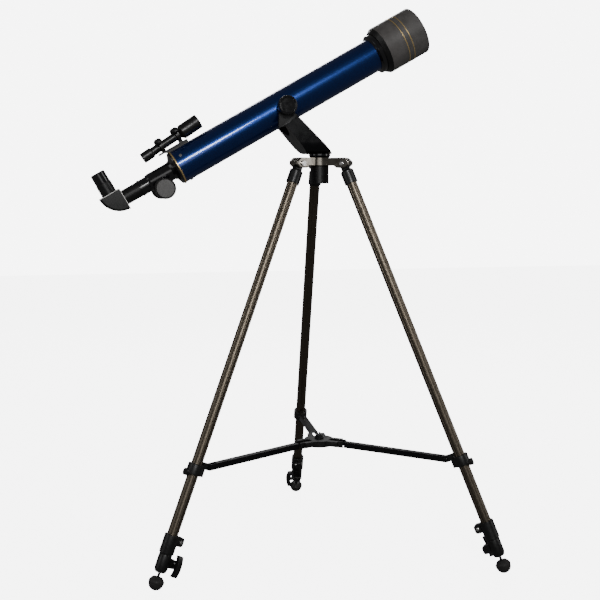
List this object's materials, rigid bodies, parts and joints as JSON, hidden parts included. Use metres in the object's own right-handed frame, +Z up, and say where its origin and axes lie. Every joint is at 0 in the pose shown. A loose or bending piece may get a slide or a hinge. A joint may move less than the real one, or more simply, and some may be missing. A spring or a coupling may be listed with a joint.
{
  "type": "refracting telescope on tripod",
  "caption": "small refracting telescope with star diagonal and finder, in a fork on a folding three-legged stand with spreader",
  "frame": {"origin": "on the floor, on the axis that the telescope pans about", "axes": "+Z up, +X the way the tube points, raised 29.75 degrees, +Y across the tube"},
  "size_m": [0.7362, 0.6055, 1.0447],
  "materials": {
    "tube_blue": "metallic dark blue enamel, glossy",
    "black_metal": "black enamel, semi-gloss",
    "black_plastic": "moulded black plastic, glossy",
    "grey_matte": "dark grey moulded plastic, matte",
    "gold": "gold anodised trim",
    "bright_steel": "bright zinc plated",
    "head_metal": "polished casting, dark",
    "leg_metal": "bronze-grey anodised, fluted",
    "inner_metal": "plain drawn tube",
    "glass": "coated optical glass",
    "rubber": "black rubber",
    "knob_face": "grey moulded plastic, satin"
  },
  "bodies": {
    "tripod": {"tripod_head": "head_metal", "azimuth_sleeve": "black_plastic", "azimuth_disc": "black_plastic", "leg_hinge_bolts": "bright_steel"},
    "fork_head": {"fork": "black_metal", "azimuth_bolt": "bright_steel"},
    "tube": {"main_tube": "tube_blue", "rear_trim_ring": "gold", "rear_cell_screws": "bright_steel", "tube_baffle": "black_metal", "pivot_bosses": "black_metal", "lens_cell": "grey_matte", "objective_lens": "glass", "lens_retainer": "black_plastic", "focuser_housing": "black_plastic", "finder_bracket": "black_metal", "finder_thumbscrews": "black_plastic"},
    "shield": {"dew_shield": "grey_matte", "dew_shield_bands": "gold"},
    "draw": {"drawtube": "black_plastic", "focus_rack": "bright_steel"},
    "focus_spindle": {"pinion_shaft": "bright_steel", "focus_knobs": "knob_face"},
    "diagonal": {"diagonal_housing": "black_plastic", "diagonal_prism": "glass", "diagonal_plates": "bright_steel"},
    "eyepiece": {"eyepiece_body": "black_plastic", "eyepiece_lenses": "glass"},
    "finder": {"finder_tube": "black_plastic", "finder_lenses": "glass"},
    "clamp_knob_near": {"altitude_knob_near": "black_plastic"},
    "clamp_knob_far": {"altitude_knob_far": "black_plastic"},
    "hub": {"spreader_hub": "black_plastic"},
    "leg_rear": {"leg_socket_rear": "black_plastic", "leg_tube_rear": "leg_metal", "leg_collar_rear": "black_plastic", "collar_screw_rear": "bright_steel", "spreader_bracket_rear": "black_plastic"},
    "lower_rear": {"lower_leg_rear": "inner_metal", "foot_rear": "rubber"},
    "lock_rear": {"lock_screw_rear": "black_plastic"},
    "arm_rear": {"spreader_arm_rear": "black_metal"},
    "leg_left": {"leg_socket_left": "black_plastic", "leg_tube_left": "leg_metal", "leg_collar_left": "black_plastic", "collar_screw_left": "bright_steel", "spreader_bracket_left": "black_plastic"},
    "lower_left": {"lower_leg_left": "inner_metal", "foot_left": "rubber"},
    "lock_left": {"lock_screw_left": "black_plastic"},
    "arm_left": {"spreader_arm_left": "black_metal"},
    "leg_right": {"leg_socket_right": "black_plastic", "leg_tube_right": "leg_metal", "leg_collar_right": "black_plastic", "collar_screw_right": "bright_steel", "spreader_bracket_right": "black_plastic"},
    "lower_right": {"lower_leg_right": "inner_metal", "foot_right": "rubber"},
    "lock_right": {"lock_screw_right": "black_plastic"},
    "arm_right": {"spreader_arm_right": "black_metal"}
  },
  "joints": [
    {"name": "pan", "type": "hinge", "parent": "tripod", "child": "fork_head", "pos_m": [0, 0, 0.7685], "axis": [0, 0, 1], "continuous": true},
    {"name": "tilt", "type": "hinge", "parent": "fork_head", "child": "tube", "pos_m": [-0.0735, 0, 0.8544], "axis": [0, -1, 0], "range_deg": [-39.75, 35.25]},
    {"name": "near_clamp_turn", "type": "hinge", "parent": "tube", "child": "clamp_knob_near", "pos_m": [-0.0735, -0.045, 0.8544], "axis": [0, -1, 0], "range_deg": [0, 300]},
    {"name": "far_clamp_turn", "type": "hinge", "parent": "tube", "child": "clamp_knob_far", "pos_m": [-0.0735, 0.045, 0.8544], "axis": [0, 1, 0], "range_deg": [0, 300]},
    {"name": "shield_pull", "type": "slide", "parent": "tube", "child": "shield", "axis": [0.8682, 0, 0.4962], "range_m": [0, 0.02]},
    {"name": "focus_travel", "type": "slide", "parent": "tube", "child": "draw", "axis": [-0.8682, 0, -0.4962], "range_m": [-0.01, 0.06]},
    {"name": "focus_turn", "type": "hinge", "parent": "tube", "child": "focus_spindle", "pos_m": [-0.29677, 0, 0.70295], "axis": [0, -1, 0], "range_deg": [-150, 865]},
    {"name": "diagonal_turn", "type": "hinge", "parent": "draw", "child": "diagonal", "pos_m": [-0.36001, 0, 0.69065], "axis": [0.8682, 0, 0.4962], "continuous": true},
    {"name": "eyepiece_pull", "type": "slide", "parent": "diagonal", "child": "eyepiece", "axis": [-0.4962, 0, 0.8682], "range_m": [0, 0.022]},
    {"name": "finder_aim", "type": "hinge", "parent": "tube", "child": "finder", "pos_m": [-0.28621, 0, 0.78926], "axis": [0, -1, 0], "range_deg": [-1, 1]},
    {"name": "hub_rise", "type": "slide", "parent": "tripod", "child": "hub", "axis": [0, 0, 1], "range_m": [0, 0.1401]},
    {"name": "rear_leg_fold", "type": "hinge", "parent": "tripod", "child": "leg_rear", "pos_m": [0.00512, 0.04873, 0.75], "axis": [-0.9945, 0.1045, 0], "range_deg": [0, 21]},
    {"name": "rear_leg_extend", "type": "slide", "parent": "leg_rear", "child": "lower_rear", "axis": [0.0412, 0.3924, -0.9189], "range_m": [0, 0.4]},
    {"name": "rear_lock_turn", "type": "hinge", "parent": "leg_rear", "child": "lock_rear", "pos_m": [0.0349, 0.33203, 0.03977], "axis": [-0.9945, 0.1045, 0], "range_deg": [0, 180]},
    {"name": "rear_arm_fold", "type": "hinge", "parent": "leg_rear", "child": "arm_rear", "pos_m": [0.02664, 0.25343, 0.20227], "axis": [-0.9945, 0.1045, 0], "range_deg": [0, 64.83]},
    {"name": "left_leg_fold", "type": "hinge", "parent": "tripod", "child": "leg_left", "pos_m": [-0.04476, -0.01993, 0.75], "axis": [0.4067, -0.9135, 0], "range_deg": [0, 21.01]},
    {"name": "left_leg_extend", "type": "slide", "parent": "leg_left", "child": "lower_left", "axis": [-0.3605, -0.1605, -0.9189], "range_m": [0, 0.4]},
    {"name": "left_lock_turn", "type": "hinge", "parent": "leg_left", "child": "lock_left", "pos_m": [-0.30499, -0.13579, 0.03977], "axis": [0.4067, -0.9135, 0], "range_deg": [0, 180]},
    {"name": "left_arm_fold", "type": "hinge", "parent": "leg_left", "child": "arm_left", "pos_m": [-0.23279, -0.10365, 0.20227], "axis": [0.4067, -0.9135, 0], "range_deg": [0, 64.83]},
    {"name": "right_leg_fold", "type": "hinge", "parent": "tripod", "child": "leg_right", "pos_m": [0.03964, -0.0288, 0.75], "axis": [0.5878, 0.809, 0], "range_deg": [0, 21.01]},
    {"name": "right_leg_extend", "type": "slide", "parent": "leg_right", "child": "lower_right", "axis": [0.3192, -0.2319, -0.9189], "range_m": [0, 0.4]},
    {"name": "right_lock_turn", "type": "hinge", "parent": "leg_right", "child": "lock_right", "pos_m": [0.2701, -0.19624, 0.03977], "axis": [0.5878, 0.809, 0], "range_deg": [0, 180]},
    {"name": "right_arm_fold", "type": "hinge", "parent": "leg_right", "child": "arm_right", "pos_m": [0.20616, -0.14978, 0.20227], "axis": [0.5878, 0.809, 0], "range_deg": [0, 64.83]}
  ],
  "couplings": [
    {"joint": "focus_turn", "follows": "focus_travel", "rad_per_m": 250},
    {"joint": "hub_rise", "follows": "rear_leg_fold", "m_per_rad": 0.38197},
    {"joint": "rear_arm_fold", "follows": "rear_leg_fold", "ratio": 3.0846},
    {"joint": "left_leg_fold", "follows": "rear_leg_fold", "ratio": 1},
    {"joint": "left_arm_fold", "follows": "rear_leg_fold", "ratio": 3.0846},
    {"joint": "right_leg_fold", "follows": "rear_leg_fold", "ratio": 1},
    {"joint": "right_arm_fold", "follows": "rear_leg_fold", "ratio": 3.0846}
  ]
}
